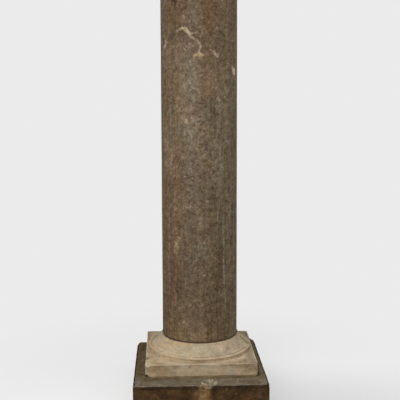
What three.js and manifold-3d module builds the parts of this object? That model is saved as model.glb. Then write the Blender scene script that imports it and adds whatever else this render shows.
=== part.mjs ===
// Marble column: a plain round shaft on a moulded base stone, which sits on an old square footing block.
// Millimetres, +Z up. The origin is under the middle of the footing block.

import * as THREE from 'three';
import { mergeVertices } from 'three/addons/utils/BufferGeometryUtils.js';
import Module from 'manifold-3d';

const wasm = await Module();
wasm.setup();

// Footing block
const blockWidth = 505;
const blockDepth = 547;
const blockHeight = 120;
const blockBackSkew = 27; // the back face stops this much short at its left end
const blockArris = 2.5;
const blockBackWear = { across: 18, along: 70 }; // how far each back corner is worn round
const blockFrontWear = 4;

// Base stone: square plinth and round moulding in one piece
const plinthWidth = 429;
const plinthDepth = 426;
const plinthHeight = 44.3;
const plinthBackSkew = 17; // here the right end of the back face stops short
const plinthArris = 1.5;
const plinthCornerWear = 3;
const plinthShiftX = -2; // the plinth is not quite centred under the moulding
const baseHeight = 107;
const footRadius = 196.5; // the moulding where it meets the plinth, tucked in below the lip
const undercutStart = 2; // the foot stands straight for this height before it curves out
const lipRadius = 204.5;
const lipRise = 19; // the lip's nose above the plinth
const lipUnderside = { inset: 1, drop: 8 }; // its lower edge, in from and below the nose
const lipSwell = { out: 2.5, rise: 1.5 }; // the pull that rounds the nose
const lipCrest = { inset: 5.5, rise: 2.4 }; // its top, in from and above the nose
const grooveWidth = 3.5;
const grooveDepth = 1.2;
const flareLow = { inset: 27, rise: 12 }; // the hollow flare's pull near the lip
const flareHigh = { out: 3.5, drop: 17 }; // and its pull near the rim
const flareTop = { out: 0.8, drop: 5 }; // where it ends under the rim
const rimRadius = 157;
const rimArris = 2;
const mouldingSides = 72;

// Shaft: no entasis, only a slight taper
const shaftFootRadius = 150;
const shaftTopRadius = 144.7;
const shaftHeight = 1800;
const shaftArris = 2;
const shaftSides = 96;

// The column stands right of and behind the middle of the block
const columnX = 7.5;
const columnY = 39;

const brownMarble = new THREE.MeshStandardMaterial({ color: 0x6a5943, roughness: 0.55, metalness: 0 });
const creamMarble = new THREE.MeshStandardMaterial({ color: 0xb09c7c, roughness: 0.7, metalness: 0 });
const darkStone = new THREE.MeshStandardMaterial({ color: 0x54432d, roughness: 0.8, metalness: 0 });

const v2 = (x, y) => new THREE.Vector2(x, y);

// A closed geometry as a solid for cutting and joining, without the slivers that a lathe leaves at its poles
function toSolid(geometry) {
  geometry.deleteAttribute('normal');
  geometry.deleteAttribute('uv');
  const merged = mergeVertices(geometry);
  const corners = merged.index.array;
  const kept = [];
  for (let i = 0; i < corners.length; i += 3) {
    const [a, b, c] = [corners[i], corners[i + 1], corners[i + 2]];
    if (a !== b && b !== c && c !== a) kept.push(a, b, c);
  }
  const vertProperties = new Float32Array(merged.attributes.position.array);
  return new wasm.Manifold(new wasm.Mesh({ numProp: 3, vertProperties, triVerts: new Uint32Array(kept) }));
}

function toMesh(name, solid, material) {
  const { vertProperties, triVerts } = solid.getMesh();
  const geometry = new THREE.BufferGeometry();
  geometry.setAttribute('position', new THREE.BufferAttribute(new Float32Array(vertProperties), 3));
  geometry.setIndex(new THREE.BufferAttribute(new Uint32Array(triVerts), 1));
  geometry.computeVertexNormals();
  const mesh = new THREE.Mesh(geometry, material);
  mesh.name = name;
  return mesh;
}

// A profile of radius and height, turned about +Z
function turned(profile, sides) {
  return toSolid(new THREE.LatheGeometry(profile, sides).rotateX(Math.PI / 2));
}

// A plan stood up to a height, standing on z = 0, with a small arris top and bottom
function slab(plan, height, arris) {
  const geometry = new THREE.ExtrudeGeometry(plan, {
    depth: height - 2 * arris,
    bevelThickness: arris,
    bevelSize: arris,
    bevelOffset: -arris,
    bevelSegments: 1,
    curveSegments: 5,
  });
  return toSolid(geometry.translate(0, 0, arris));
}

// A four-cornered plan. Each corner, from front left on, is worn round by its reach along either side
function wornPlan(corners, wear) {
  const plan = new THREE.Shape();
  corners.forEach((corner, i) => {
    const before = corners[(i + 3) % 4];
    const after = corners[(i + 1) % 4];
    const [reachIn, reachOut] = wear[i];
    const start = corner.clone().addScaledVector(before.clone().sub(corner).normalize(), reachIn);
    const end = corner.clone().addScaledVector(after.clone().sub(corner).normalize(), reachOut);
    if (i === 0) plan.moveTo(start.x, start.y);
    else plan.lineTo(start.x, start.y);
    plan.quadraticCurveTo(corner.x, corner.y, end.x, end.y);
  });
  plan.closePath();
  return plan;
}

// A rough lump, taken out of a stone where a piece has broken away
const lumpUneven = 0.22;
function lump({ at, size, seed }) {
  const geometry = new THREE.IcosahedronGeometry(1, 1);
  const place = geometry.attributes.position;
  const point = new THREE.Vector3();
  for (let i = 0; i < place.count; i += 1) {
    point.fromBufferAttribute(place, i);
    const ripple = Math.sin(4.1 * point.x + seed) * Math.sin(5.3 * point.y + 2 * seed);
    const swell = Math.sin(4.7 * point.z + 3 * seed);
    point.multiplyScalar(1 + lumpUneven * (ripple + swell) * 0.5);
    place.setXYZ(i, at[0] + size[0] * point.x, at[1] + size[1] * point.y, at[2] + size[2] * point.z);
  }
  return toSolid(geometry);
}

const breakAway = (stone, lumps) => lumps.reduce((left, one) => left.subtract(lump(one)), stone);

function columnShaft() {
  const profile = [
    v2(0, 0),
    v2(shaftFootRadius - shaftArris, 0),
    v2(shaftFootRadius, shaftArris),
    v2(shaftTopRadius, shaftHeight - shaftArris),
    v2(shaftTopRadius - shaftArris, shaftHeight),
    v2(0, shaftHeight),
  ];
  return toMesh('column_shaft', turned(profile, shaftSides), brownMarble);
}

// From the plinth up: an undercut, the rounded lip, a fine groove, a hollow flare, a narrow rim
function mouldingProfile() {
  const buried = plinthHeight / 2;
  const noseHeight = plinthHeight + lipRise;
  const underside = v2(lipRadius - lipUnderside.inset, noseHeight - lipUnderside.drop);
  const crest = v2(lipRadius - lipCrest.inset, noseHeight + lipCrest.rise);
  const groove = v2(crest.x - grooveWidth, crest.y - grooveDepth);
  const undercut = new THREE.QuadraticBezierCurve(
    v2(footRadius, plinthHeight + undercutStart),
    v2(footRadius, underside.y),
    underside,
  );
  const nose = new THREE.QuadraticBezierCurve(
    underside,
    v2(lipRadius + lipSwell.out, noseHeight + lipSwell.rise),
    crest,
  );
  const flare = new THREE.CubicBezierCurve(
    v2(groove.x - grooveWidth / 2, groove.y + grooveDepth),
    v2(lipRadius - flareLow.inset, noseHeight + flareLow.rise),
    v2(rimRadius + flareHigh.out, baseHeight - flareHigh.drop),
    v2(rimRadius + flareTop.out, baseHeight - flareTop.drop),
  );
  return [
    v2(0, buried),
    v2(footRadius, buried),
    ...undercut.getPoints(4),
    ...nose.getPoints(5).slice(1),
    groove,
    ...flare.getPoints(8),
    v2(rimRadius, baseHeight - rimArris),
    v2(rimRadius - rimArris, baseHeight),
    v2(0, baseHeight),
  ];
}

function mouldedBase() {
  const right = plinthWidth / 2;
  const back = plinthDepth / 2;
  const left = -right;
  const front = -back;
  const corners = [v2(left, front), v2(right, front), v2(right, back - plinthBackSkew), v2(left, back)];
  const evenWear = corners.map(() => [plinthCornerWear, plinthCornerWear]);
  const plinth = slab(wornPlan(corners, evenWear), plinthHeight, plinthArris);
  const top = plinthHeight;
  const breaks = [
    { at: [left - 2, front + 45, top + 5], size: [27, 58, 11], seed: 1.3 }, // left arris, near the front
    { at: [left - 4, front + 82, top + 1], size: [10, 18, 14], seed: 4.1 }, // its notch
    { at: [left + 1, front - 4, 0], size: [15, 13, 15], seed: 2.2 }, // front left, under
    { at: [right + 3, front - 3, top + 2], size: [12, 14, 17], seed: 5.6 }, // front right
  ];
  const stone = breakAway(plinth, breaks).translate([plinthShiftX, 0, 0]);
  return toMesh('moulded_base', stone.add(turned(mouldingProfile(), mouldingSides)), creamMarble);
}

function footingBlock() {
  const right = blockWidth / 2;
  const back = blockDepth / 2;
  const left = -right;
  const front = -back;
  const corners = [v2(left, front), v2(right, front), v2(right, back), v2(left, back - blockBackSkew)];
  const { across, along } = blockBackWear;
  const frontWear = [blockFrontWear, blockFrontWear];
  const plan = wornPlan(corners, [frontWear, frontWear, [along, across], [across, along]]);
  const top = blockHeight;
  const breaks = [
    { at: [31, front - 4, top + 3], size: [25, 22, 15], seed: 0.7 }, // front arris
    { at: [7, front - 12, top - 29], size: [38, 18, 29], seed: 3.4 }, // spalled face below it
    { at: [right + 3, front - 2, top + 2], size: [13, 20, 14], seed: 2.9 }, // front right
    { at: [left - 2, front - 2, top + 2], size: [8, 10, 8], seed: 6.2 }, // front left
  ];
  return toMesh('footing_block', breakAway(slab(plan, blockHeight, blockArris), breaks), darkStone);
}

// The worn back corners leave the block a little short, so it is centred again on the origin
const block = footingBlock();
block.geometry.computeBoundingBox();
const blockMiddle = block.geometry.boundingBox.getCenter(new THREE.Vector3());
block.position.set(-blockMiddle.x, -blockMiddle.y, 0);
const base = mouldedBase();
base.position.set(columnX, columnY, blockHeight);
const shaft = columnShaft();
shaft.position.set(columnX, columnY, blockHeight + baseHeight);

const column = new THREE.Group();
column.add(block, base, shaft);

export default column;
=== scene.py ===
import math

import bpy
from mathutils import Matrix, Vector


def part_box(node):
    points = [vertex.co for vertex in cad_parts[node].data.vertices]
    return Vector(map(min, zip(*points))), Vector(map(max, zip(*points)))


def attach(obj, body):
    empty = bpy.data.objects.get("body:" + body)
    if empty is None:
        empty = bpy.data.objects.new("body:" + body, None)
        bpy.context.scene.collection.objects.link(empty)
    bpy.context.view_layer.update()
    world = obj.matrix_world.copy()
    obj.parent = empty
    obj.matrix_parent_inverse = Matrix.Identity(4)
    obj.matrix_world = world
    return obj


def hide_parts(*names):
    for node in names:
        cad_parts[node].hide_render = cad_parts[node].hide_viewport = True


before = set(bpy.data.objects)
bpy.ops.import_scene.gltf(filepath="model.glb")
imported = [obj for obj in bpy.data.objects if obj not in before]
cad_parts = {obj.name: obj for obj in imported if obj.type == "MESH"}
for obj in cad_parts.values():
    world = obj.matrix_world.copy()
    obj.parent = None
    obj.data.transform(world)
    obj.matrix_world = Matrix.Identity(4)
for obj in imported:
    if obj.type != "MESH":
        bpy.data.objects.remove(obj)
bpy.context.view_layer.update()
shaftLow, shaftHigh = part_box("column_shaft")
baseLow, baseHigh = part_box("moulded_base")
blockLow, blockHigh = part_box("footing_block")
columnAt = Vector(((shaftLow.x + shaftHigh.x) / 2, (shaftLow.y + shaftHigh.y) / 2, 0))  # the shaft's axis
jointAt = columnAt + Vector((0, 0, shaftLow.z))  # middle of the bed where the shaft meets its base
print("frame loaded, column axis at", tuple(round(v, 4) for v in columnAt))


# helpers for objects and node trees

def addObject(name, data):
    made = bpy.data.objects.new(name, data)
    bpy.context.scene.collection.objects.link(made)
    return made


def feed(tree, socket, value):
    if isinstance(value, bpy.types.NodeSocket):
        tree.links.new(value, socket)
    else:
        socket.default_value = value


def addNode(tree, kind, sockets=None, **settings):
    made = tree.nodes.new(kind)
    for name, value in settings.items():
        setattr(made, name, value)
    for key, value in (sockets or {}).items():
        feed(tree, made.inputs[key], value)
    return made


def fromNode(tree, kind, sockets=None, **settings):
    # what comes out of a new node first
    return addNode(tree, kind, sockets, **settings).outputs[0]


def newGroup(name, kind, inputs, output):
    # an empty group with its sockets, and what comes in
    tree = bpy.data.node_groups.new(name, kind)
    for label, socket in inputs:
        tree.interface.new_socket(label, in_out="INPUT", socket_type="NodeSocket" + socket)
    tree.interface.new_socket(output[0], in_out="OUTPUT", socket_type="NodeSocket" + output[1])
    return tree, addNode(tree, "NodeGroupInput").outputs


def maths(tree, operation, *values):
    return fromNode(tree, "ShaderNodeMath", dict(enumerate(values)), operation=operation)


def times(tree, first, second):
    return maths(tree, "MULTIPLY", first, second)


def vectorMaths(tree, operation, *values):
    made = addNode(tree, "ShaderNodeVectorMath", dict(enumerate(values)), operation=operation)
    return made.outputs[1 if operation in ("LENGTH", "DOT_PRODUCT", "DISTANCE") else 0]


def scaled(tree, vector, factor):
    return fromNode(tree, "ShaderNodeVectorMath", {0: vector, "Scale": factor}, operation="SCALE")


def combine(tree, x, y, z):
    return fromNode(tree, "ShaderNodeCombineXYZ", {0: x, 1: y, 2: z})


def separate(tree, vector):
    return addNode(tree, "ShaderNodeSeparateXYZ", {0: vector}).outputs


def remap(tree, value, low, high, toLow=0.0, toHigh=1.0):
    sockets = {0: value, 1: low, 2: high, 3: toLow, 4: toHigh}
    return fromNode(tree, "ShaderNodeMapRange", sockets, interpolation_type="SMOOTHSTEP")


def noise(tree, place, size, detail=3.0, roughness=0.55, distortion=0.0):
    # size is the width of one patch, in metres
    sockets = {"Vector": place, "Scale": 1 / size, "Detail": detail}
    sockets.update({"Roughness": roughness, "Distortion": distortion})
    return addNode(tree, "ShaderNodeTexNoise", sockets).outputs


def srgb(red, green, blue):
    def linear(value):
        value = value / 255
        return value / 12.92 if value <= 0.04045 else ((value + 0.055) / 1.055) ** 2.4
    return (linear(red), linear(green), linear(blue), 1.0)


def mixColour(tree, factor, first, second, blend="MIX"):
    sockets = {0: factor, 6: first, 7: second}
    return addNode(tree, "ShaderNodeMix", sockets, data_type="RGBA", blend_type=blend).outputs[2]


# camera, set to the photograph's view

viewFrom = {
    "awayFromJoint": (-0.1301, -3.0102, 0.9556),
    "turn": math.radians(-2.524),
    "lookDown": math.radians(7.855),
    "roll": math.radians(-0.165),
    "lens": 69.0,
    "sensor": 36.0,
}


def placeCamera(view):
    data = bpy.data.cameras.new("photoCamera")
    data.lens = view["lens"]
    data.sensor_width = view["sensor"]
    camera = addObject("photoCamera", data)
    turn = Matrix.Rotation(view["turn"], 4, "Z")
    tip = Matrix.Rotation(math.pi / 2 - view["lookDown"], 4, "X")
    roll = Matrix.Rotation(view["roll"], 4, "Z")
    camera.matrix_world = Matrix.Translation(jointAt + Vector(view["awayFromJoint"])) @ turn @ tip @ roll
    bpy.context.scene.camera = camera


placeCamera(viewFrom)
print("camera placed")


# floor and studio light

studio = {
    "paper": srgb(235, 235, 235),  # what shows behind the column
    "floorHalf": 30.0,
    "floorGlow": 0.62,   # how much of the floor's tone no shadow can take away
    "floorTone": 0.43,
    "fadeFrom": 0.45, "fadeTo": 1.3,  # from here on the floor turns into plain paper
    "shade": 0.16,       # painted shade: the floor greys towards the front, on the right
    "shadeFrom": (0.0, 0.33), "shadeFull": (0.30, -0.20),
    "ambient": 0.33,
    "lights": [  # name, place from the column's foot, aim height, width, watts
        ("keySoftbox", (-0.75, -1.70, 1.1), 0.85, 1.2, 17.0),
        ("rightSoftbox", (2.0, -0.5, 1.6), 1.1, 1.6, 9.0),
        ("topSoftbox", (0.0, -0.5, 3.3), 0.0, 2.0, 26.0),
    ],
    "windowFrom": (-0.64, 0.42, 0.64),  # wide daylight from behind on the left, for the shadow at the right
    "windowStrength": 0.3,
    "windowAngle": math.radians(35),
}


def makeFloor(values):
    half = values["floorHalf"]
    corners = [(-half, -half, 0), (half, -half, 0), (half, half, 0), (-half, half, 0)]
    mesh = bpy.data.meshes.new("paperFloor")
    mesh.from_pydata(corners, [], [(0, 1, 2, 3)])
    floor = addObject("paperFloor", mesh)
    floor.visible_diffuse = False  # the stones are lit by the lamps and the room alone
    floor.visible_glossy = False
    material = bpy.data.materials.new("palePaper")
    material.use_nodes = True
    tree = material.node_tree
    tree.nodes.clear()
    place = addNode(tree, "ShaderNodeTexCoord").outputs["Object"]
    far = remap(tree, vectorMaths(tree, "LENGTH", place), values["fadeFrom"], values["fadeTo"])
    rightward, back, _ = separate(tree, place)
    (rightFrom, backFrom), (rightFull, backFull) = values["shadeFrom"], values["shadeFull"]
    towardsRight = remap(tree, rightward, rightFrom, rightFull)
    towardsFront = remap(tree, back, backFrom, backFull)
    shade = times(tree, towardsRight, towardsFront)
    light = maths(tree, "MULTIPLY_ADD", shade, -values["shade"], 1.0)
    paper = fromNode(tree, "ShaderNodeEmission", {0: values["paper"], 1: 1.0})
    shone = times(tree, light, values["floorGlow"])
    glow = fromNode(tree, "ShaderNodeEmission", {0: values["paper"], 1: shone})
    tone = times(tree, light, values["floorTone"])
    matt = fromNode(tree, "ShaderNodeBsdfDiffuse", {0: combine(tree, tone, tone, tone)})
    near = fromNode(tree, "ShaderNodeAddShader", {0: glow, 1: matt})
    both = fromNode(tree, "ShaderNodeMixShader", {0: far, 1: near, 2: paper})
    addNode(tree, "ShaderNodeOutputMaterial", {0: both})
    mesh.materials.append(material)


def hangLamp(name, data, place, towards):
    lamp = addObject(name, data)
    lamp.location = place
    lamp.rotation_euler = (Vector(towards) - Vector(place)).to_track_quat("-Z", "Y").to_euler()


def lightRoom(values):
    world = bpy.data.worlds.new("studioRoom")
    bpy.context.scene.world = world
    world.use_nodes = True
    tree = world.node_tree
    tree.nodes.clear()
    seen = addNode(tree, "ShaderNodeLightPath").outputs["Is Camera Ray"]
    ambient = values["ambient"]
    shade = mixColour(tree, seen, (ambient, ambient, ambient, 1), values["paper"])
    room = fromNode(tree, "ShaderNodeBackground", {0: shade})
    addNode(tree, "ShaderNodeOutputWorld", {0: room})
    for name, place, aimHeight, width, watts in values["lights"]:
        softbox = bpy.data.lights.new(name, "AREA")
        softbox.size = width
        softbox.energy = watts
        hangLamp(name, softbox, columnAt + Vector(place), columnAt + Vector((0, 0, aimHeight)))
    window = bpy.data.lights.new("leftWindow", "SUN")
    window.energy = values["windowStrength"]
    window.angle = values["windowAngle"]
    hangLamp("leftWindow", window, Vector(values["windowFrom"]), (0, 0, 0))


bpy.context.scene.view_settings.view_transform = "Standard"
makeFloor(studio)
lightRoom(studio)
print("floor and lights ready")


# stones: a profile of rows is carried round a plan, then worn and broken

def curve(guides, steps):
    # a smooth line from the first guide to the last, without its first point
    turns = len(guides) - 1
    points = []
    for i in range(1, steps + 1):
        t = i / steps
        weights = [math.comb(turns, k) * t ** k * (1 - t) ** (turns - k) for k in range(turns + 1)]
        points.append(tuple(sum(w * guide[axis] for w, guide in zip(weights, guides)) for axis in (0, 1)))
    return points


def straight(start, end, steps):
    return [tuple(a + (b - a) * i / steps for a, b in zip(start, end)) for i in range(1, steps + 1)]


def rowsOf(points, squareness=0.0, arris=0.0, grime=0.0, free=1.0):
    # reach from the axis and height of each row, how square it is, and how it wears
    return [(reach, height, squareness, arris, grime, free) for reach, height in points]


def profileObject(name, rows):
    mesh = bpy.data.meshes.new(name)
    mesh.from_pydata([(row[0], 0, row[1]) for row in rows], [], [])
    for k, label in enumerate(("squareness", "arris", "grime", "free")):
        values = [row[2 + k] for row in rows]
        mesh.attributes.new(label, "FLOAT", "POINT").data.foreach_set("value", values)
    return addObject(name, mesh)


def planObject(name, corners, wear):
    # corners from front left on; each is worn round by its reach along either side
    data = bpy.data.curves.new(name, "CURVE")
    data.dimensions = "2D"
    spline = data.splines.new("BEZIER")
    spline.bezier_points.add(2 * len(corners) - 1)
    spline.use_cyclic_u = True
    for i, corner in enumerate(corners):
        before, after = corners[i - 1], corners[(i + 1) % len(corners)]
        start = corner + (before - corner).normalized() * wear[i][0]
        end = corner + (after - corner).normalized() * wear[i][1]
        first, last = spline.bezier_points[2 * i], spline.bezier_points[2 * i + 1]
        for point, place in ((first, start), (last, end)):
            point.co = point.handle_left = point.handle_right = place.to_3d()
        first.handle_right = start.lerp(corner, 2 / 3).to_3d()
        last.handle_left = end.lerp(corner, 2 / 3).to_3d()
    return addObject(name, data)


breakGrain = 0.014     # width of the lumps on a broken face
breakStep = 1.7        # each break takes its lumps from another place in the noise
seamWidth = 0.00002    # points nearer to each other than this become one
bites = (0.48, 0.72)   # the noise's heights where an arris begins to be nibbled and is nibbled most


def breakGroup():
    # where a lump has broken away the surface is pushed back to a rough hollow, and marked
    inputs = (("Stone", "Geometry"), ("Centre", "Vector"), ("Size", "Vector"),
              ("Rough", "Float"), ("Seed", "Float"), ("DirtAndShade", "Float"))
    tree, given = newGroup("brokenAway", "GeometryNodeTree", inputs, ("Stone", "Geometry"))
    place = fromNode(tree, "GeometryNodeInputPosition")
    away = vectorMaths(tree, "SUBTRACT", place, given["Centre"])
    local = vectorMaths(tree, "DIVIDE", away, given["Size"])
    outward = vectorMaths(tree, "MULTIPLY", vectorMaths(tree, "NORMALIZE", local), given["Size"])
    seeds = combine(tree, given["Seed"], given["Seed"], given["Seed"])
    lumps = noise(tree, vectorMaths(tree, "ADD", outward, seeds), breakGrain, detail=4.0, roughness=0.6)[0]
    reach = maths(tree, "MULTIPLY_ADD", maths(tree, "SUBTRACT", lumps, 0.5), given["Rough"], 1.0)
    inside = maths(tree, "LESS_THAN", vectorMaths(tree, "LENGTH", local), reach)
    stone = given["Stone"]
    for label, value in (("broken", 1.0), ("grime", given["DirtAndShade"])):
        sockets = {"Geometry": stone, "Selection": inside, "Name": label, "Value": value}
        stone = fromNode(tree, "GeometryNodeStoreNamedAttribute", sockets, data_type="FLOAT")
    target = vectorMaths(tree, "ADD", given["Centre"], scaled(tree, outward, reach))
    sockets = {"Geometry": stone, "Selection": inside, "Position": target}
    addNode(tree, "NodeGroupOutput", {0: fromNode(tree, "GeometryNodeSetPosition", sockets)})
    return tree


brokenAway = breakGroup()
stoneInputs = (
    ("Profile", "Geometry"), ("Plan", "Object"), ("Sides", "Int"), ("Half Width", "Float"),
    ("Stands At", "Vector"), ("Swell", "Float"), ("Swell Size", "Float"), ("Grain", "Float"),
    ("Grain Size", "Float"), ("Nibble", "Float"), ("Nibble Size", "Float"), ("Finish", "Material"),
)


def stoneTree(name, breaks):
    tree, given = newGroup(name, "GeometryNodeTree", stoneInputs, ("Stone", "Geometry"))
    position = fromNode(tree, "GeometryNodeInputPosition")

    def kept(label):
        sockets = {"Name": label}
        return fromNode(tree, "GeometryNodeInputNamedAttribute", sockets, data_type="FLOAT")

    def store(stone, label, value):
        sockets = {"Geometry": stone, "Name": label, "Value": value}
        return fromNode(tree, "GeometryNodeStoreNamedAttribute", sockets, data_type="FLOAT")

    def sample(source, value, at, kind):
        sockets = {"Geometry": source, "Value": value, "Index": at}
        return fromNode(tree, "GeometryNodeSampleIndex", sockets, data_type=kind)

    # a sheet of rows by sides, one column for each point of the plan
    outline = addNode(tree, "GeometryNodeObjectInfo", {"Object": given["Plan"]}).outputs["Geometry"]
    sockets = {"Curve": outline, "Count": given["Sides"]}
    outline = fromNode(tree, "GeometryNodeResampleCurve", sockets)
    rows = addNode(tree, "GeometryNodeAttributeDomainSize", {0: given["Profile"]}).outputs["Point Count"]
    sockets = {"Vertices X": maths(tree, "ADD", given["Sides"], 1), "Vertices Y": rows}
    sheet = fromNode(tree, "GeometryNodeMeshGrid", sockets)
    index = fromNode(tree, "GeometryNodeInputIndex")
    column = maths(tree, "FLOOR", maths(tree, "DIVIDE", index, rows))
    row = maths(tree, "MODULO", index, rows)
    planPoint = sample(outline, position, maths(tree, "MODULO", column, given["Sides"]), "FLOAT_VECTOR")
    reach, _, height = separate(tree, sample(given["Profile"], position, row, "FLOAT_VECTOR"))
    roundPlace = scaled(tree, vectorMaths(tree, "NORMALIZE", planPoint), reach)
    squarePlace = scaled(tree, planPoint, maths(tree, "DIVIDE", reach, given["Half Width"]))
    squareness = sample(given["Profile"], kept("squareness"), row, "FLOAT")
    sockets = {0: squareness, 4: roundPlace, 5: squarePlace}
    flat = addNode(tree, "ShaderNodeMix", sockets, data_type="VECTOR").outputs[1]
    raised = vectorMaths(tree, "ADD", flat, combine(tree, 0.0, 0.0, height))
    sockets = {"Geometry": sheet, "Position": vectorMaths(tree, "ADD", raised, given["Stands At"])}
    stone = fromNode(tree, "GeometryNodeSetPosition", sockets)
    for label in ("arris", "grime", "free"):
        stone = store(stone, label, sample(given["Profile"], kept(label), row, "FLOAT"))
    stone = store(stone, "broken", 0.0)
    sockets = {"Geometry": stone, "Distance": seamWidth}
    stone = fromNode(tree, "GeometryNodeMergeByDistance", sockets)

    # worn faces and nibbled arrises
    def uneven(size, detail):
        place = vectorMaths(tree, "DIVIDE", position, combine(tree, size, size, size))
        return noise(tree, place, 1.0, detail)[0]

    def relief(depth, size, detail):
        return times(tree, maths(tree, "SUBTRACT", uneven(size, detail), 0.5), depth)

    faces = maths(tree, "ADD", relief(given["Swell"], given["Swell Size"], 2.0),
                  relief(given["Grain"], given["Grain Size"], 3.0))
    bitten = remap(tree, uneven(given["Nibble Size"], 4.0), *bites)
    bitten = times(tree, bitten, times(tree, kept("arris"), given["Nibble"]))
    lift = times(tree, maths(tree, "SUBTRACT", faces, bitten), kept("free"))
    normal = fromNode(tree, "GeometryNodeInputNormal")
    sockets = {"Geometry": stone, "Offset": scaled(tree, normal, lift)}
    stone = fromNode(tree, "GeometryNodeSetPosition", sockets)

    for k, (centre, size, rough, dirt) in enumerate(breaks):
        sockets = dict(enumerate((stone, centre, size, rough, breakStep * (k + 1), dirt)))
        stone = fromNode(tree, "GeometryNodeGroup", sockets, node_tree=brokenAway)

    stone = fromNode(tree, "GeometryNodeSetShadeSmooth", {"Geometry": stone})
    stone = fromNode(tree, "GeometryNodeRealizeInstances", {"Geometry": stone})
    sockets = {"Geometry": stone, "Material": given["Finish"]}
    addNode(tree, "NodeGroupOutput", {0: fromNode(tree, "GeometryNodeSetMaterial", sockets)})
    return tree


def cutStone(name, profile, plan, values, halfWidth, standsAt, finish, breaks):
    tree = stoneTree(name + "Rule", breaks)
    modifier = profile.modifiers.new(name, "NODES")
    modifier.node_group = tree
    settings = {
        "Plan": plan, "Sides": values["sides"], "Half Width": halfWidth, "Stands At": standsAt,
        "Swell": values["swell"], "Swell Size": values["swellSize"],
        "Grain": values["grain"], "Grain Size": values["grainSize"],
        "Nibble": values["nibble"], "Nibble Size": values["nibbleSize"], "Finish": finish,
    }
    for item in tree.interface.items_tree:
        if item.in_out == "INPUT" and item.name in settings:
            modifier[item.identifier] = settings[item.name]
    graph = bpy.context.evaluated_depsgraph_get()
    evaluated = profile.evaluated_get(graph)
    mesh = bpy.data.meshes.new_from_object(evaluated, preserve_all_data_layers=True, depsgraph=graph)
    mesh.name = name
    profile.modifiers.remove(modifier)
    for spare in (profile, plan):
        bpy.data.objects.remove(spare)
    stone = addObject(name, mesh)
    print(name, "cut with", len(mesh.polygons), "faces")
    return stone


def standFor(stone, node):
    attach(stone, "root")
    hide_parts(node)


# finishes: patches, marks and grain laid over one another

grainTint = (0.87, 1.0, 1.22)  # light grains are greyer and dark ones browner
darkest = 0.1                  # this share of the tone is left in the darkest grain
layerStep = 3.1                # each layer of patches is taken from another place in the noise
mottleSize = 0.012
mottle = (0.36, 0.58)          # the noise's heights where a mark lies thinnest and thickest


def strokeGroup():
    # how far a place is from a line, in half widths of the stroke there
    inputs = (("Place", "Vector"), ("Start", "Vector"), ("End", "Vector"),
              ("First", "Float"), ("Last", "Float"))
    tree, given = newGroup("strokeReach", "ShaderNodeTree", inputs, ("Reach", "Float"))
    run = vectorMaths(tree, "SUBTRACT", given["End"], given["Start"])
    away = vectorMaths(tree, "SUBTRACT", given["Place"], given["Start"])
    whole = vectorMaths(tree, "DOT_PRODUCT", run, run)
    along = maths(tree, "DIVIDE", vectorMaths(tree, "DOT_PRODUCT", away, run), whole)
    along = fromNode(tree, "ShaderNodeClamp", {0: along})
    aside = vectorMaths(tree, "DISTANCE", away, scaled(tree, run, along))
    sockets = {0: along, 2: given["First"], 3: given["Last"]}
    width = fromNode(tree, "ShaderNodeMix", sockets, data_type="FLOAT")
    addNode(tree, "NodeGroupOutput", {0: maths(tree, "DIVIDE", aside, width)})
    return tree


strokeReach = strokeGroup()


def shaken(tree, place, amount):
    # the place moved about a little, so that edges come out ragged
    stir = noise(tree, place, 1.2 * amount, detail=3.0)["Color"]
    stir = vectorMaths(tree, "SUBTRACT", stir, (0.5, 0.5, 0.5))
    return vectorMaths(tree, "ADD", place, scaled(tree, stir, amount))


def moved(tree, place, step):
    return vectorMaths(tree, "ADD", place, (step, step, step))


def streaks(tree, place, stretch, size, detail):
    # noise drawn out along the sides where the stretch is less than 1
    return noise(tree, vectorMaths(tree, "MULTIPLY", place, stretch), size, detail=detail)[0]


def attribute(tree, name):
    return addNode(tree, "ShaderNodeAttribute", attribute_name=name).outputs["Fac"]


def facingUp(tree):
    return separate(tree, addNode(tree, "ShaderNodeNewGeometry").outputs["Normal"])[2]


def blotches(tree, place, look):
    place = moved(tree, place, look["blotchStep"])
    return noise(tree, place, look["blotchSize"], detail=4.0, roughness=0.65)[0]


def patches(tree, place, tone, layers):
    # each layer: colour, patch size, where it starts and is full, how much of it
    for k, (layerTone, size, low, high, share) in enumerate(layers):
        patch = noise(tree, moved(tree, place, layerStep * (k + 1)), size, detail=3.0, roughness=0.6)[0]
        tone = mixColour(tree, remap(tree, patch, low, high, 0.0, share), tone, srgb(*layerTone))
    return tone


def strokesOn(tree, place, routes, soft):
    # 1 on the strokes, 0 away from them; each point of a route ends in its half width
    nearest = None
    for route in routes:
        points = [[value / 1000 for value in point] for point in route]
        for first, last in zip(points, points[1:] or points):
            start, end = (tuple(point[:-1]) + (0.0,) * (4 - len(point)) for point in (first, last))
            sockets = dict(enumerate((place, start, end, first[-1], last[-1])))
            reach = fromNode(tree, "ShaderNodeGroup", sockets, node_tree=strokeReach)
            nearest = reach if nearest is None else maths(tree, "MINIMUM", nearest, reach)
    return remap(tree, nearest, 1 - soft, 1 + soft, 1.0, 0.0)


def layMarks(tree, place, tone, marks):
    # each mark: colour, least and most share of it, softness, raggedness, routes
    for markTone, least, most, soft, ragged, routes in marks:
        at = shaken(tree, place, ragged / 1000)
        cover = strokesOn(tree, at, routes, soft)
        thickness = remap(tree, noise(tree, at, mottleSize, detail=2.0)[0], *mottle, least, most)
        tone = mixColour(tree, times(tree, cover, thickness), tone, srgb(*markTone))
    return tone


def grained(tree, tone, grain, strength):
    # lighter and darker by a grain that is 0.5 on the mean
    apart = times(tree, maths(tree, "SUBTRACT", grain, 0.5), strength)
    shares = [maths(tree, "MULTIPLY_ADD", apart, tint, 1.0) for tint in grainTint]
    shares = [maths(tree, "MAXIMUM", share, darkest) for share in shares]
    return mixColour(tree, 1.0, tone, combine(tree, *shares), "MULTIPLY")


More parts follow.
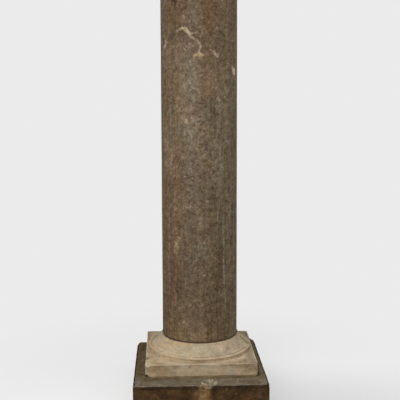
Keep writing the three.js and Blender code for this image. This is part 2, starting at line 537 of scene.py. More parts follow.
def crumbs(tree, place, size):
    # small grains, each of one tone
    sockets = {"Vector": shaken(tree, place, 0.6 * size), "Scale": 1 / size}
    return separate(tree, addNode(tree, "ShaderNodeTexVoronoi", sockets).outputs["Color"])[0]


def stoneMaterial(name):
    material = bpy.data.materials.new(name)
    material.use_nodes = True
    material.node_tree.nodes.clear()
    place = addNode(material.node_tree, "ShaderNodeTexCoord").outputs["Object"]
    return material, material.node_tree, place


def finishStone(tree, tone, grain, look):
    low, high = look["roughness"]
    rough = remap(tree, grain, 0.35, 0.65, high, low)
    sockets = {"Strength": 1.0, "Distance": look["pitting"], "Height": grain}
    bump = fromNode(tree, "ShaderNodeBump", sockets)
    sockets = {"Base Color": tone, "Roughness": rough, "Specular IOR Level": look["gloss"], "Normal": bump}
    shader = fromNode(tree, "ShaderNodeBsdfPrincipled", sockets)
    addNode(tree, "ShaderNodeOutputMaterial", {0: shader})


# shaft

shaftStone = {
    "footRadius": 0.1494, "topRadius": 0.1462,
    "arris": 0.002,
    "sides": 300, "rows": 280,
    "swell": 0.001, "swellSize": 0.16,
    "grain": 0.0004, "grainSize": 0.012,
    "nibble": 0.003, "nibbleSize": 0.03,
}

brownMarble = {
    "brown": srgb(113, 92, 67),
    "patches": [  # colour, patch size, where it starts and is full, share
        ((104, 88, 57), 0.060, 0.46, 0.64, 0.4),
        ((108, 98, 76), 0.070, 0.52, 0.66, 0.3),
        ((117, 89, 67), 0.055, 0.52, 0.68, 0.4),
        ((66, 50, 32), 0.011, 0.58, 0.70, 0.5),
        ((150, 131, 104), 0.008, 0.62, 0.72, 0.6),
    ],
    "grainSize": 0.0225, "grain": 3.3,
    "crumbSize": 0.0065, "crumb": 0.5,
    "swirlSize": 0.010, "swirl": 1.1, "swirlTwist": 1.5,
    "streakSize": 0.012, "streakStretch": (1.0, 1.0, 0.06),
    "streakFull": 0.5, "streak": 1.3,     # streaky up to this height
    "streakLess": 1.2, "fewStreaks": 0.5,  # and less so from this height on
    "jointDirt": srgb(62, 41, 14), "jointShare": 0.9, "dirtTo": 0.010,
    "pitting": 0.0012, "roughness": (0.46, 0.66), "gloss": 0.42,
    # in millimetres: raggedness, and routes of across the front, up from the joint, half width
    "marks": [
        ((134, 112, 78), 0.2, 0.5, 0.9, 30,  # yellowish foot, partly painted light near the joint
         [[(-150, 50, 50), (-87, 35, 45), (-45, 21, 45), (0, 20, 40)]]),
        ((98, 86, 44), 0.3, 0.65, 0.9, 20,  # painted olive reflection and shade down both sides
         [[(-198, 0, 28), (-198, 1350, 28)], [(192, 0, 60), (192, 1350, 55)]]),
        ((82, 62, 40), 0.2, 0.6, 0.9, 20,  # browner clouds, with painted shade down the left side near the foot
         [[(-178, 450, 25), (-172, 270, 35), (-178, 20, 35)],
          [(-135, 340, 20), (-132, 240, 28), (-100, 190, 28)],
          [(8, 857, 16), (31, 872, 20), (56, 886, 14)], [(23, 775, 12), (31, 756, 14), (39, 737, 10)],
          [(10, 572, 16), (55, 562, 20)], [(70, 512, 14), (74, 403, 14), (70, 286, 14), (74, 167, 14)]]),
        ((78, 60, 40), 0.2, 0.5, 0.95, 30,  # darker clouds, with painted shade across the top
         [[(-90, 1270, 70), (120, 1280, 70)], [(-90, 1190, 40), (-20, 1210, 45)],
          [(28, 1059, 20), (60, 1059, 22)], [(-120, 305, 20)], [(20, 1150, 40), (100, 1120, 50)],
          [(12, 930, 20), (40, 920, 22)], [(-55, 690, 40), (-20, 640, 45), (10, 560, 40)],
          [(-40, 440, 50), (-40, 300, 60), (-20, 230, 50)],
          [(50, 430, 35), (60, 230, 40), (30, 100, 40)]]),
        ((136, 115, 90), 0.15, 0.45, 0.95, 30,  # paler clouds, partly a painted sheen
         [[(-150, 1100, 35), (-70, 1070, 35)], [(-60, 920, 35), (-35, 860, 40)],
          [(-165, 800, 45), (-105, 700, 45)], [(40, 760, 25), (55, 700, 28)],
          [(34, 336, 20), (55, 381, 22)], [(124, 420, 15)]]),
        ((76, 58, 36), 0.15, 0.4, 0.95, 30,  # darker clouds, second coat, with painted shade near the top
         [[(-70, 1240, 50), (-45, 1190, 40)], [(50, 1240, 40), (110, 1260, 60)],
          [(90, 1180, 40), (100, 1090, 30)],
          [(-40, 705, 25), (-66, 680, 25), (-66, 612, 25), (-20, 575, 22)], [(86, 472, 26)],
          [(92, 284, 28)], [(-130, 300, 22)], [(10, 905, 18)]]),
        ((142, 122, 97), 0.15, 0.4, 0.95, 30,  # paler clouds, second coat, partly a painted sheen
         [[(-52, 985, 22), (-53, 900, 26), (-40, 850, 26)], [(-161, 790, 26), (-145, 695, 28)],
          [(45, 1010, 20)]]),
        ((112, 80, 44), 0.15, 0.45, 0.95, 30,  # warmer clouds, with painted shade across the top and down the sides
         [[(-60, 1270, 60), (120, 1270, 70)], [(130, 1200, 45), (130, 1070, 40)],
          [(-155, 600, 35), (-150, 20, 55)]]),
        ((100, 93, 78), 0.1, 0.4, 0.95, 30, [[(55, 880, 45), (65, 440, 50)]]),  # greyer clouds
        ((114, 106, 84), 0.2, 0.5, 0.8, 20,  # grey-green clouds
         [[(-22, 1272, 20), (-20, 1240, 22)], [(-51, 1063, 22), (-51, 1011, 24), (-47, 952, 22)],
          [(-91, 822, 30), (-52, 801, 34)], [(78, 710, 16), (72, 664, 18), (80, 595, 16)],
          [(-27, 591, 18), (0, 576, 16)], [(8, 372, 20), (10, 350, 22)], [(119, 1023, 14)]]),
        ((122, 98, 82), 0.25, 0.6, 0.8, 14,  # pinkish clouds
         [[(-138, 1028, 12), (-136, 950, 12)], [(-66, 1229, 14), (-50, 1229, 14)],
          [(-85, 1135, 22), (-51, 1134, 22)], [(-138, 1122, 5), (-137, 1074, 5)],
          [(-142, 520, 6), (-140, 444, 7), (-146, 357, 7), (-140, 259, 8)]]),
        ((152, 133, 100), 0.2, 0.85, 0.7, 12,  # yellow patches
         [[(-88, 408, 9), (-99, 383, 13), (-104, 360, 11)]]),
        ((138, 114, 72), 0.2, 0.65, 0.6, 8,  # smaller yellow patches
         [[(-43, 387, 5), (-41, 366, 5)], [(-103, 195, 3), (-104, 165, 3), (-112, 140, 3)]]),
        ((100, 72, 42), 0.2, 0.55, 0.7, 12,  # rusty streaks
         [[(-157, 637, 7), (-160, 590, 8)], [(-107, 643, 5), (-106, 588, 5)],
          [(-88, 640, 12), (-84, 598, 14)]]),
        ((74, 34, 16), 0.6, 0.9, 0.6, 8,  # dark red stain
         [[(-118, 1304, 8), (-100, 1298, 8), (-103, 1280, 3)]]),
        ((70, 54, 36), 0.1, 0.5, 0.7, 8,  # thin dark lines
         [[(-125, 882, 3), (-105, 895, 3), (-73, 915, 3), (-41, 931, 3)],
          [(-61, 938, 3), (-22, 927, 3), (5, 920, 4), (20, 930, 3)]]),
        ((66, 51, 33), 0.2, 0.75, 0.6, 10,  # dark flaws
         [[(-61, 524, 4), (-44, 514, 6), (-24, 502, 6)], [(-15, 853, 4), (-2, 857, 3), (11, 853, 5)],
          [(24, 773, 5), (22, 754, 5), (34, 734, 5)], [(54, 841, 4), (55, 790, 3)],
          [(53, 472, 4), (51, 448, 4)], [(-178, 1155, 8), (-178, 1138, 8)], [(43, 606, 7)],
          [(-22, 350, 6)], [(10, 381, 4)], [(70, 1114, 5)], [(81, 943, 5)], [(-12, 963, 4)]]),
        ((136, 123, 100), 0.3, 0.7, 0.8, 4,  # long pale streak on the right
         [[(89, 471, 3), (94, 420, 4), (95, 342, 4.5), (94, 283, 4.5), (99, 223, 4.5), (103, 162, 4),
           (104, 122, 3)]]),
        ((132, 116, 93), 0.3, 0.75, 0.5, 8,  # short pale lines
         [[(67, 515, 2), (65, 475, 2)], [(0, 803, 3), (22, 816, 4), (35, 820, 3)],
          [(-12, 903, 4), (7, 915, 4)], [(-145, 878, 4), (-131, 889, 4), (-129, 918, 3)],
          [(-29, 979, 3), (-10, 971, 4), (-6, 963, 3)]]),
        ((150, 130, 104), 0.3, 0.75, 0.6, 5,  # the vein's faint ends
         [[(-94, 1189, 3), (-72, 1195, 4)], [(-36, 1176, 3), (-26, 1178, 3), (-13, 1181, 3)]]),
        ((168, 147, 120), 0.6, 0.95, 0.5, 5,  # the vein
         [[(-48, 1184, 6), (-40, 1176, 7), (-37, 1166, 6), (-30, 1161, 4.5), (-17, 1154, 4.5),
           (-6, 1143, 4.5), (-1, 1133, 5), (-5, 1120, 4), (-8, 1107, 3.5)]]),
        ((182, 164, 126), 0.7, 1.0, 0.45, 6,  # its yellow head
         [[(-70, 1197, 4), (-59, 1192, 8), (-49, 1185, 6)]]),
        ((164, 140, 100), 0.5, 0.9, 0.5, 6,  # its foot
         [[(-26, 1097, 4), (-8, 1106, 4), (8, 1098, 4), (-24, 1097, 3)]]),
        ((168, 145, 124), 0.6, 0.95, 0.6, 5,  # scar on the left
         [[(-160, 1154, 5), (-152, 1147, 6), (-158, 1139, 7), (-169, 1132, 7)]]),
        ((150, 128, 108), 0.45, 0.9, 0.6, 6,  # scar on the right
         [[(36, 1117, 4), (53, 1108, 8), (67, 1098, 7)]]),
        ((196, 172, 146), 0.7, 1.0, 0.5, 5,  # chip at the right edge
         [[(146, 1052, 6), (154, 1045, 11), (164, 1039, 10)]]),
        ((172, 155, 128), 0.6, 0.95, 0.5, 4,  # bright spots
         [[(-66, 1124, 3), (-58, 1119, 3.5)], [(-54, 1126, 2.5)], [(-54, 858, 5), (-55, 850, 5)]]),
        ((146, 130, 106), 0.4, 0.85, 0.6, 5,  # pale spots
         [[(70, 940, 3), (75, 931, 5)], [(41, 664, 4)], [(-63, 649, 3.5)], [(-32, 644, 4)],
          [(24, 555, 4.5)], [(-98, 683, 4)], [(34, 267, 4)], [(13, 269, 4.5)], [(10, 395, 4.5)],
          [(-8, 263, 3)], [(107, 1191, 4)], [(99, 946, 4)], [(-65, 1238, 4)], [(-38, 1238, 3)],
          [(117, 1070, 4)]]),
    ],
}


def makeBrownMarble(look, wrapRadius):
    material, tree, place = stoneMaterial("brownMarble")
    x, y, up = separate(tree, vectorMaths(tree, "SUBTRACT", place, jointAt))
    turn = maths(tree, "ARCTAN2", x, times(tree, y, -1.0))  # from the front, towards the right
    unrolled = combine(tree, times(tree, turn, wrapRadius), up, 0.0)
    tone = patches(tree, place, look["brown"], look["patches"])
    tone = layMarks(tree, unrolled, tone, look["marks"])
    streak = streaks(tree, place, look["streakStretch"], look["streakSize"], 2.0)
    heights = (look["streakFull"], look["streakLess"])
    tone = grained(tree, tone, streak, remap(tree, up, *heights, look["streak"], look["fewStreaks"]))
    swirl = noise(tree, place, look["swirlSize"], detail=2.0, distortion=look["swirlTwist"])[0]
    tone = grained(tree, tone, swirl, look["swirl"])
    tone = grained(tree, tone, crumbs(tree, place, look["crumbSize"]), look["crumb"])
    grain = noise(tree, place, look["grainSize"], detail=3.5, roughness=0.95)[0]
    tone = grained(tree, tone, grain, look["grain"])
    dirtTo = look["dirtTo"]
    ragged = maths(tree, "MULTIPLY_ADD", maths(tree, "SUBTRACT", 0.5, grain), dirtTo, up)
    inJoint = remap(tree, ragged, 0.0, dirtTo, look["jointShare"], 0.0)
    tone = mixColour(tree, inJoint, tone, look["jointDirt"])
    finishStone(tree, tone, grain, look)
    return material


def makeShaft(values):
    foot, top, arris = values["footRadius"], values["topRadius"], values["arris"]
    height = shaftHigh.z - shaftLow.z
    rows = rowsOf([(0, 0), (foot / 2, 0), (foot - arris, 0)], free=0)
    rows += rowsOf(curve([(foot - arris, 0), (foot, 0), (foot, arris)], 2), arris=1)
    rows += rowsOf(straight((foot, arris), (top, height - arris), values["rows"]))
    rows += rowsOf(curve([(top, height - arris), (top, height), (top - arris, height)], 2), arris=1)
    rows += rowsOf([(top * 0.8, height), (top * 0.4, height), (0, height)], free=0)
    profile = profileObject("shaftProfile", rows)
    corners = [Vector((x * foot, y * foot)) for x, y in ((-1, -1), (1, -1), (1, 1), (-1, 1))]
    plan = planObject("shaftPlan", corners, [(foot, foot)] * 4)
    finish = makeBrownMarble(brownMarble, foot)
    stone = cutStone("roundShaft", profile, plan, values, foot, jointAt, finish, [])
    standFor(stone, "column_shaft")


makeShaft(shaftStone)


# moulded base

baseStone = {
    "plinthHeight": 0.0453,
    "plinthShift": -0.002,
    "backShort": 0.017,   # the right end of the back face stops short
    "cornerWear": 0.004,
    "arris": 0.002,
    "cleanTo": 0.014,     # so far below the plinth's top its faces are clean
    "dirtBands": [(0.013, 0.009, 3, 0.15), (0.008, 0.001, 5, 0.4)],  # above that: from, to, rows, dirt
    "footRadius": 0.193, "lipRadius": 0.2045, "lipRise": 0.018, "rimRadius": 0.157,
    # turns of the moulding, each by its step in and up: first those from the nose of the lip
    "lipUnderside": (0.001, -0.006), "lipSwell": (-0.0025, 0.0015), "lipCrest": (0.0055, 0.0034),
    "flareLow": (0.027, 0.012),
    "groove": (0.004, -0.002), "flareFoot": (0.002, 0.0014),  # from the crest, then from the groove
    "flareHigh": (-0.0035, -0.017), "flareTop": (-0.0008, -0.005),  # from the rim
    "rimTop": (0.002, 0), "bedFrom": (0.0055, 0),  # from the rim
    # the groove's share is painted shade along the groove; the bed's is dirt under the shaft
    "grooveShade": 0.2, "bedDirt": 0.6,
    "sides": 720, "faceRows": 14, "topRows": 26,
    "swell": 0.0014, "swellSize": 0.07,
    "grain": 0.0005, "grainSize": 0.008,
    "nibble": 0.004, "nibbleSize": 0.022,
    "leftBreaks": [  # from the plinth's front left corner: centre, size, roughness, dirt and painted shade in it
        ((0.001, 0.002, 0.0483), (0.024, 0.034, 0.0105), 0.5, 0.05),   # worn top of the corner
        ((-0.004, 0.078, 0.0463), (0.018, 0.015, 0.026), 0.5, 0.55),  # notch in the left arris
        ((-0.006, 0.150, 0.0503), (0.0105, 0.060, 0.0095), 0.5, 0.05),  # worn arris behind it
        ((0.000, -0.003, -0.001), (0.013, 0.012, 0.011), 0.5, 1.0),    # hollow under the corner, with painted deep shade in it
    ],
    "rightBreaks": [
        ((0.003, -0.003, 0.0463), (0.012, 0.014, 0.017), 0.5, 0.3),
    ],
}

creamMarble = {
    "cream": srgb(194, 173, 141),
    "patches": [
        ((180, 170, 144), 0.050, 0.46, 0.64, 0.8),
        ((192, 163, 127), 0.045, 0.54, 0.70, 0.4),
        ((150, 130, 98), 0.014, 0.58, 0.72, 0.35),
        ((210, 196, 168), 0.012, 0.58, 0.72, 0.4),
    ],
    "grainSize": 0.05, "grain": 1.5,
    "blotchSize": 0.03, "blotchStep": 7.7,
    "bedSize": 0.006, "bed": 0.5, "bedStretch": (0.12, 0.12, 1.0),  # faint level streaks
    # the dirt colour also paints shade in the groove and hollows; the deep colour is painted shade in the
    # hollow under the corner, from this much on
    "dirt": srgb(104, 84, 52), "cavityShade": srgb(74, 52, 26), "cavityShadeFrom": 0.75,
    "plinthDirt": 0.07, "plinthClean": (0.004, 0.001),  # on its faces, ending so far below its top
    "worn": srgb(214, 198, 168),
    "broken": srgb(190, 172, 140), "brokenShare": 0.6,
    "pitting": 0.0008, "roughness": (0.6, 0.8), "gloss": 0.25,
    "marks": [  # as on the shaft, but with routes of x, y, z, half width
        ((192, 158, 118), 0.2, 0.4, 0.8, 14,  # tan
         [[(-160, -30, 190, 18), (-142, -60, 195, 18)],
          [(-196, 120, 164, 12), (-190, -30, 164, 10), (-186, -110, 164, 12), (-184, -162, 164, 9)]]),
        ((190, 152, 98), 0.3, 0.6, 0.8, 8, [[(-160, -40, 190, 6), (-159, -54, 187, 6)]]),  # yellow spot
        ((220, 184, 140), 0.3, 0.6, 0.9, 10,  # warm rim
         [[(-132, -36, 222, 7), (-92, -87, 223, 8), (-37, -113, 224, 7)]]),
        ((214, 186, 148), 0.3, 0.65, 0.9, 14,  # painted light on the moulding's left
         [[(-190, 10, 184, 14), (-164, -52, 184, 17)]]),
        ((160, 152, 128), 0.15, 0.35, 0.8, 14,  # grey on the left
         [[(-177, -4, 189, 12), (-172, 20, 196, 12)]]),
        ((160, 149, 120), 0.4, 0.75, 0.8, 14,  # greenish grey in the middle, and painted shade just under the rim
         [[(-45, -111, 217, 4), (1, -120, 217, 4.5), (48, -113, 217, 4)],
          [(-80, -111, 200, 18), (-14, -129, 203, 24), (55, -134, 196, 20)]]),
        ((152, 134, 113), 0.3, 0.75, 0.8, 16,  # greyish pink on the right
         [[(172, -49, 188, 16), (141, -75, 199, 14)], [(108, -100, 202, 12), (106, -118, 190, 12)]]),
        ((226, 208, 176), 0.4, 0.85, 0.9, 4,  # painted light on the plinth's top round the moulding's foot, where the lip shades it
         [[(-184, 0, 165, 10), (-143, -88, 165, 12), (-76, -140, 164, 10), (7.5, -167, 165.5, 3.5),
           (91, -141, 164, 13), (164, -92, 165, 18), (197, -20, 165, 6)]]),
        ((136, 116, 88), 0.3, 0.7, 0.9, 8,  # dirt on the plinth's top, with painted shade near its right end
         [[(175, -132, 164, 10), (172, -162, 164, 12), (198, -167, 164, 10)],
          [(-190, -154, 164, 9), (-140, -152, 164, 8)], [(156, -142, 165, 6), (156, -166, 165, 7)]]),
        ((126, 106, 84), 0.35, 0.6, 0.95, 12,  # painted shadow of the lip at its right end
         [[(204, -30, 165, 10), (196, -85, 165, 14), (199, -145, 165, 19)]]),
        ((216, 198, 166), 0.4, 0.7, 0.8, 3,  # painted highlight on the lip and the rim, on the right
         [[(106, -139, 183, 3), (130, -122, 183, 4), (152, -102, 183, 3)],
          [(164, 14, 221, 4), (156, -12, 220, 4)]]),
        ((118, 92, 64), 0.3, 0.65, 0.9, 6,  # dirt towards the back on the left
         [[(-120, 246, 165, 8), (-205, 240, 165, 10), (-204, 165, 165, 11), (-199, 135, 165, 5)]]),
        ((100, 84, 64), 0.35, 0.65, 0.9, 6,  # and at the back on the right; its second route darkens the moulding's right flank
         [[(140, 236, 165, 10), (205, 220, 165, 16), (211, 150, 165, 14), (211, 80, 165, 10)],
          [(172, 20, 209, 9), (187, 30, 197, 10), (200, 8, 187, 8)]]),
        ((70, 54, 34), 0.5, 0.9, 0.8, 2,  # painted shade at the shaft's joint, far right
         [[(152, 50, 227, 4), (154, 22, 227, 4)]]),
        ((132, 112, 84), 0.3, 0.7, 0.8, 2,  # painted shade in the groove, on the right
         [[(-26, -153, 185, 1.5), (7.5, -156, 185, 2.5), (58, -149, 185, 2.8), (105, -130, 185, 2),
           (145, -99, 185, 1.8), (176, -58, 185, 2)]]),
        ((146, 126, 96), 0.2, 0.55, 0.9, 6,  # painted shade under the lip
         [[(-30, -150, 167, 2), (7.5, -154, 167, 3), (40, -150, 167, 2)]]),
        ((134, 110, 74), 0.3, 0.6, 0.9, 16,  # smears
         [[(-191, -174, 152, 14), (-130, -174, 148, 16), (-85, -174, 158, 10)],
          [(-155, -174, 130, 12), (-104, -174, 136, 13)],
          [(120, -174, 160, 6), (163, -174, 154, 10), (213, -174, 150, 12)],
          [(165, -174, 136, 8), (185, -174, 136, 8)]]),
        ((108, 86, 56), 0.5, 0.8, 0.7, 6,  # dirt and painted shade down the right corner
         [[(219, -170, 160, 4), (220, -170, 124, 5)]]),
        ((110, 94, 66), 0.4, 0.7, 0.7, 6,  # drips
         [[(-40, -168, 164, 3), (-40, -174, 155, 4)], [(-12, -150, 174, 4), (-4, -151, 174, 4)]]),
    ],
}


def makeCreamMarble(look, plinthTop):
    material, tree, place = stoneMaterial("creamMarble")
    grain = noise(tree, place, look["grainSize"], detail=5.0, roughness=0.9)[0]
    blotch = blotches(tree, place, look)
    # the grime attribute holds dirt, and painted shade in the groove and in the hollow under the corner
    grime, arris = attribute(tree, "grime"), attribute(tree, "arris")
    tone = patches(tree, place, look["cream"], look["patches"])
    tone = layMarks(tree, place, tone, look["marks"])
    broken = times(tree, attribute(tree, "broken"), look["brokenShare"])
    tone = mixColour(tree, broken, tone, look["broken"])
    # dirt lies in blotches on the plinth's faces; in the hollows the same colour is dirt and painted shade,
    # and the deepest hollow gets painted deep shade
    height = separate(tree, place)[2]
    cleanFrom, cleanAt = (plinthTop - below for below in look["plinthClean"])
    onPlinth = remap(tree, height, cleanFrom, cleanAt, look["plinthDirt"], 0.0)
    onPlinth = times(tree, onPlinth, remap(tree, blotch, 0.3, 0.7, 0.3, 1.7))
    inHollows = times(tree, grime, remap(tree, blotch, 0.3, 0.65, 0.35, 0.95))
    tone = mixColour(tree, maths(tree, "MAXIMUM", onPlinth, inHollows), tone, look["dirt"])
    tone = mixColour(tree, remap(tree, grime, look["cavityShadeFrom"], 1.0), tone, look["cavityShade"])
    # arrises that face up are painted pale: rubbed wear with a painted highlight
    facing = facingUp(tree)
    rubbedAndLit = times(tree, arris, remap(tree, blotch, 0.4, 0.6, 0.1, 0.75))
    rubbedAndLit = times(tree, rubbedAndLit, remap(tree, facing, 0.3, 0.8))
    tone = mixColour(tree, rubbedAndLit, tone, look["worn"])
    level = streaks(tree, place, look["bedStretch"], look["bedSize"], 2.0)
    tone = grained(tree, tone, level, look["bed"])
    tone = grained(tree, tone, grain, look["grain"])
    finishStone(tree, tone, grain, look)
    return material


def inFrom(point, step):
    # a point further in towards the axis and further up
    return (point[0] - step[0], point[1] + step[1])


def makeBase(values):
    half = (baseHigh.x - baseLow.x) / 2
    depth = baseHigh.y - baseLow.y
    height = baseHigh.z - baseLow.z
    top, arris, foot = values["plinthHeight"], values["arris"], values["footRadius"]

    # plinth
    rows = rowsOf([(0, 0), (half / 2, 0), (half - arris, 0)], squareness=1, free=0)
    rows += rowsOf(curve([(half - arris, 0), (half, 0), (half, arris / 2)], 3), squareness=1, arris=0.2)
    face = straight((half, arris / 2), (half, top - values["cleanTo"]), values["faceRows"])
    rows += rowsOf(face, squareness=1)
    for start, end, steps, dirt in values["dirtBands"]:
        band = straight((half, top - start), (half, top - end), steps)
        rows += rowsOf(band, squareness=1, grime=dirt)
    rounded = curve([(half, top - arris / 2), (half, top), (half - arris, top)], 3)
    rows += rowsOf(rounded, squareness=1, arris=1)
    steps = values["topRows"]
    for i in range(1, steps + 1):  # its top, from the square to the round
        t = i / steps
        reach = half - arris + (foot - half + arris) * t
        rows += rowsOf([(reach, top)], squareness=1 - t)

    # moulding
    nose = (values["lipRadius"], top + values["lipRise"])
    rim = (values["rimRadius"], height)
    underside = inFrom(nose, values["lipUnderside"])
    crest = inFrom(nose, values["lipCrest"])
    groove = inFrom(crest, values["groove"])
    flareFoot = inFrom(groove, values["flareFoot"])
    flareTop = inFrom(rim, values["flareTop"])
    rows += rowsOf(curve([(foot, top), (foot, underside[1]), underside], 7))
    rows += rowsOf(curve([underside, inFrom(nose, values["lipSwell"]), crest], 8), arris=0.1)
    sunk = straight(crest, groove, 3) + straight(groove, flareFoot, 2)
    rows += rowsOf(sunk, grime=values["grooveShade"])
    pulls = [inFrom(nose, values["flareLow"]), inFrom(rim, values["flareHigh"])]
    rows += rowsOf(curve([flareFoot, *pulls, flareTop], 16))
    rows += rowsOf(curve([flareTop, rim, inFrom(rim, values["rimTop"])], 4), arris=0.4)
    bed = [inFrom(rim, values["bedFrom"])] + [(rim[0] * share, height) for share in (0.9, 0.5, 0)]
    rows += rowsOf(bed, grime=values["bedDirt"], free=0)
    profile = profileObject("baseProfile", rows)

    left, right = values["plinthShift"] - half, values["plinthShift"] + half
    front, back = -depth / 2, depth / 2
    corners = [(left, front), (right, front), (right, back - values["backShort"]), (left, back)]
    plan = planObject("basePlan", [Vector(corner) for corner in corners], [(values["cornerWear"],) * 2] * 4)
    standsAt = columnAt + Vector((0, 0, baseLow.z))
    breaks = []
    for side, pieces in ((left, values["leftBreaks"]), (right, values["rightBreaks"])):
        corner = standsAt + Vector((side, front, 0))
        breaks += [(corner + Vector(place), size, rough, dirt) for place, size, rough, dirt in pieces]
    finish = makeCreamMarble(creamMarble, baseLow.z + top)
    stone = cutStone("mouldedBase", profile, plan, values, half, standsAt, finish, breaks)
    standFor(stone, "moulded_base")


makeBase(baseStone)


# footing block

blockStone = {
    "backShort": 0.027,   # the left end of the back face stops short
    "backWear": (0.018, 0.070),
    "frontWear": 0.004,
    "arris": 0.004,
    "ledge": 0.13,        # the part of the top that shows round the plinth
    "sides": 800, "faceRows": 34, "ledgeRows": 32,
    "swell": 0.0024, "swellSize": 0.09,
    "grain": 0.0008, "grainSize": 0.010,
    "nibble": 0.005, "nibbleSize": 0.03,
    "breaks": [  # from the middle of the front's top edge: centre, size, roughness, dirt in it
        ((0.036, 0.020, 0.029), (0.036, 0.060, 0.034), 0.5, 0.0),    # worn dish behind the chip
        ((0.026, -0.006, 0.006), (0.032, 0.024, 0.018), 0.8, 0.0),   # chip in the front edge
        ((0.008, -0.014, -0.040), (0.036, 0.020, 0.046), 0.7, 0.0),  # spalled face under it
        ((0.2555, -0.002, 0.002), (0.013, 0.020, 0.014), 0.6, 0.3),  # right corner
        ((-0.2545, -0.002, 0.002), (0.008, 0.010, 0.008), 0.6, 0.3),  # left corner
    ],
}

darkStone = {
    "umber": srgb(82, 59, 33),
    "patches": [
        ((56, 39, 20), 0.040, 0.46, 0.64, 0.7),
        ((104, 72, 42), 0.030, 0.54, 0.70, 0.7),
        ((118, 94, 64), 0.008, 0.62, 0.74, 0.5),
    ],
    "grainSize": 0.04, "grain": 2.6,
    "blotchSize": 0.02, "blotchStep": 5.3,
    "dust": srgb(114, 102, 84), "dustLies": (0.80, 1.05),
    "oldDust": srgb(102, 87, 62), "oldAt": (-0.235, -0.180),  # near the plinth it is older and browner
    "paleEdge": srgb(134, 121, 102), "paleWithin": (0.010, 0.004),  # in from the front face
    "darkEdge": srgb(40, 28, 14),
    "bedSize": 0.022, "bed": 2.2,  # streaks along the ledges
    "acrossStretch": (0.12, 1.0, 1.0), "alongStretch": (1.0, 0.12, 1.0),
    "sideLedge": (0.205, 0.222),   # out from the middle, where the front ledge turns into the side one
    "pitting": 0.0016, "roughness": (0.7, 0.9), "gloss": 0.2,
    "marks": [  # as on the shaft, but with routes of x, y, z, half width
        ((100, 98, 80), 0.2, 0.6, 0.8, 20,  # greenish dust
         [[(-140, -225, 120, 20), (-95, -235, 120, 20)]]),
        ((142, 122, 92), 0.5, 0.9, 0.7, 4,  # painted light along the plinth's foot, lifting the shade in the crevice
         [[(-180, -177, 120, 8), (204, -177, 120, 8)]]),
        ((58, 42, 24), 0.6, 0.9, 0.8, 4,  # painted shadow beside the plinth's right end
         [[(219, -181, 120, 6), (224, -172, 120, 6), (226, -100, 120, 4)]]),
        ((132, 122, 106), 0.3, 0.6, 0.9, 6,  # dust on the right ledge
         [[(244, -78, 120, 7), (240, -112, 120, 9), (237, -145, 120, 7)]]),
        ((40, 28, 14), 0.3, 0.8, 0.8, 8,  # dark under the front edge
         [[(-250, -273, 112, 6), (-20, -273, 112, 6)],
          [(44, -272, 80, 8), (46, -272, 110, 10), (120, -273, 112, 6), (250, -273, 112, 7)]]),
        ((162, 126, 86), 0.55, 0.95, 0.7, 14,  # raw stone
         [[(8, -270, 116, 15), (12, -268, 90, 19), (12, -268, 66, 20)]]),
        ((122, 96, 62), 0.25, 0.8, 0.6, 16,  # raw stone, less clean
         [[(-14, -273, 96, 10), (-20, -273, 66, 15)], [(90, -273, 104, 5)], [(72, -273, 76, 5)],
          [(128, -273, 86, 4)]]),
        ((142, 128, 106), 0.4, 0.8, 0.6, 8,  # pale streaks
         [[(-3, -272, 119, 5), (-3, -273, 97, 4)], [(30, -218, 117, 14), (42, -240, 116, 16)]]),
        ((154, 143, 124), 0.1, 0.6, 0.9, 12, [[(28, -220, 118, 10), (48, -240, 116, 14)]]),  # rubbed pale
        ((190, 176, 155), 0.35, 0.95, 0.7, 8,  # scuffs
         [[(4, -240, 120, 3), (6, -254, 120, 4)], [(14, -254, 120, 4), (18, -264, 118, 4)],
          [(30, -214, 119, 3), (34, -232, 115, 5)], [(44, -216, 119, 3), (42, -236, 115, 4)],
          [(58, -232, 119, 3), (52, -256, 117, 5)]]),
        ((150, 138, 116), 0.3, 0.7, 0.6, 6, [[(140, -206, 120, 3), (135, -240, 120, 3.5)]]),  # nick
    ],
}


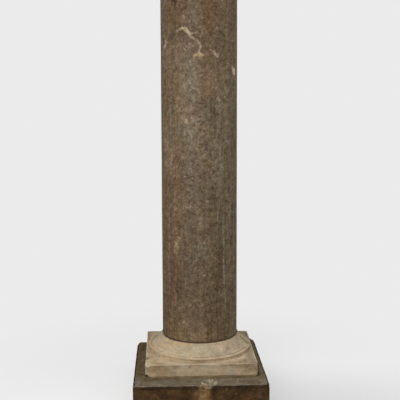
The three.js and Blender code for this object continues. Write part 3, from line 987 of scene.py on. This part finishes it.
def makeDarkStone(look):
    material, tree, place = stoneMaterial("darkStone")
    grain = noise(tree, place, look["grainSize"], detail=5.0, roughness=0.9)[0]
    blotch = blotches(tree, place, look)
    sideways, depth, _ = separate(tree, place)
    facing = facingUp(tree)
    tone = patches(tree, place, look["umber"], look["patches"])
    # dust on all that faces up, in streaks along the ledges
    dust = mixColour(tree, remap(tree, depth, *look["oldAt"]), look["dust"], look["oldDust"])
    across = streaks(tree, place, look["acrossStretch"], look["bedSize"], 3.0)
    along = streaks(tree, place, look["alongStretch"], look["bedSize"], 3.0)
    atSide = remap(tree, maths(tree, "ABSOLUTE", sideways), *look["sideLedge"])
    dust = grained(tree, dust, mixColour(tree, atSide, across, along), look["bed"])
    lying = remap(tree, maths(tree, "MULTIPLY_ADD", grain, 0.5, facing), *look["dustLies"])
    tone = mixColour(tree, lying, tone, dust)
    # the front edge is pale where it faces up, wear with a painted highlight; the others are dark
    arris = times(tree, attribute(tree, "arris"), remap(tree, blotch, 0.35, 0.6, 0.6, 1.0))
    paleFrom, paleFull = (blockLow.y + inward for inward in look["paleWithin"])
    atFront = remap(tree, depth, paleFrom, paleFull)
    pale = times(tree, atFront, remap(tree, facing, 0.5, 0.8))
    tone = mixColour(tree, arris, tone, mixColour(tree, pale, look["darkEdge"], look["paleEdge"]))
    tone = layMarks(tree, place, tone, look["marks"])
    tone = grained(tree, tone, grain, look["grain"])
    finishStone(tree, tone, grain, look)
    return material


def makeBlock(values):
    half, height = blockHigh.x, blockHigh.z
    front, back = blockLow.y, blockHigh.y
    arris = values["arris"]
    rows = rowsOf([(0, 0), (half / 2, 0), (half - arris, 0)], squareness=1, free=0)
    rounded = curve([(half - arris, 0), (half, 0), (half, arris)], 3)
    rows += rowsOf(rounded, squareness=1, arris=1, free=0)
    face = straight((half, arris), (half, height - arris), values["faceRows"])
    rows += rowsOf(face, squareness=1)
    rounded = curve([(half, height - arris), (half, height), (half - arris, height)], 5)
    rows += rowsOf(rounded, squareness=1, arris=1)
    ledge = straight((half - arris, height), (half - values["ledge"], height), values["ledgeRows"])
    rows += rowsOf(ledge, squareness=1)
    rows += rowsOf([(half * 0.3, height), (0, height)], squareness=1, free=0)
    profile = profileObject("blockProfile", rows)
    corners = [(-half, front), (half, front), (half, back), (-half, back - values["backShort"])]
    across, along = values["backWear"]
    frontWear = (values["frontWear"],) * 2
    wear = [frontWear, frontWear, (along, across), (across, along)]
    plan = planObject("blockPlan", [Vector(corner) for corner in corners], wear)
    edge = Vector((0, front, height))
    breaks = [(edge + Vector(place), size, rough, dirt) for place, size, rough, dirt in values["breaks"]]
    finish = makeDarkStone(darkStone)
    stone = cutStone("footingBlock", profile, plan, values, half, Vector((0, 0, 0)), finish, breaks)
    standFor(stone, "footing_block")


makeBlock(blockStone)
